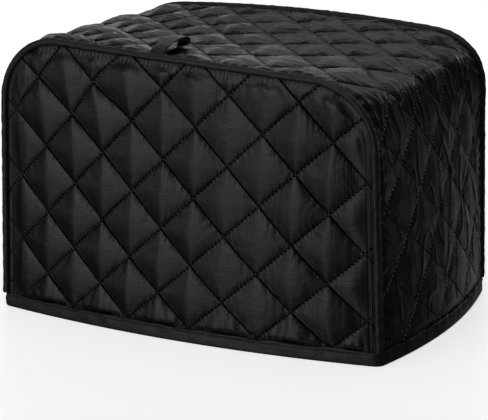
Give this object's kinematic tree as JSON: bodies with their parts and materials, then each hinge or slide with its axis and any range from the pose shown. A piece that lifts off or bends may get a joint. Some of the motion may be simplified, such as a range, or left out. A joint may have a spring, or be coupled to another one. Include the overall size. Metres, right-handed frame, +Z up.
{
  "type": "quilted toaster cover",
  "caption": "Hollow quilted cloth cover for a toaster, open below, with round top corners, piped seams, a bound hem and a tape loop on top.",
  "frame": {"origin": "middle of the cover at the level of the surface its hem stands on", "axes": "+Z up, +X along the cover's length to the viewer's right, -Y out of the front panel, which has the loop's seam"},
  "size_m": [0.327, 0.218, 0.209],
  "materials": {
    "quilted_cloth": "smooth plain-woven polyester with a soft sheen",
    "trim_tape": "plain woven tape, dull"
  },
  "bodies": {
    "root": {"front_panel": "quilted_cloth", "back_panel": "quilted_cloth", "gusset_band": "quilted_cloth", "piping_front": "trim_tape", "piping_back": "trim_tape", "hem_binding": "trim_tape", "hang_loop": "trim_tape"}
  },
  "joints": []
}
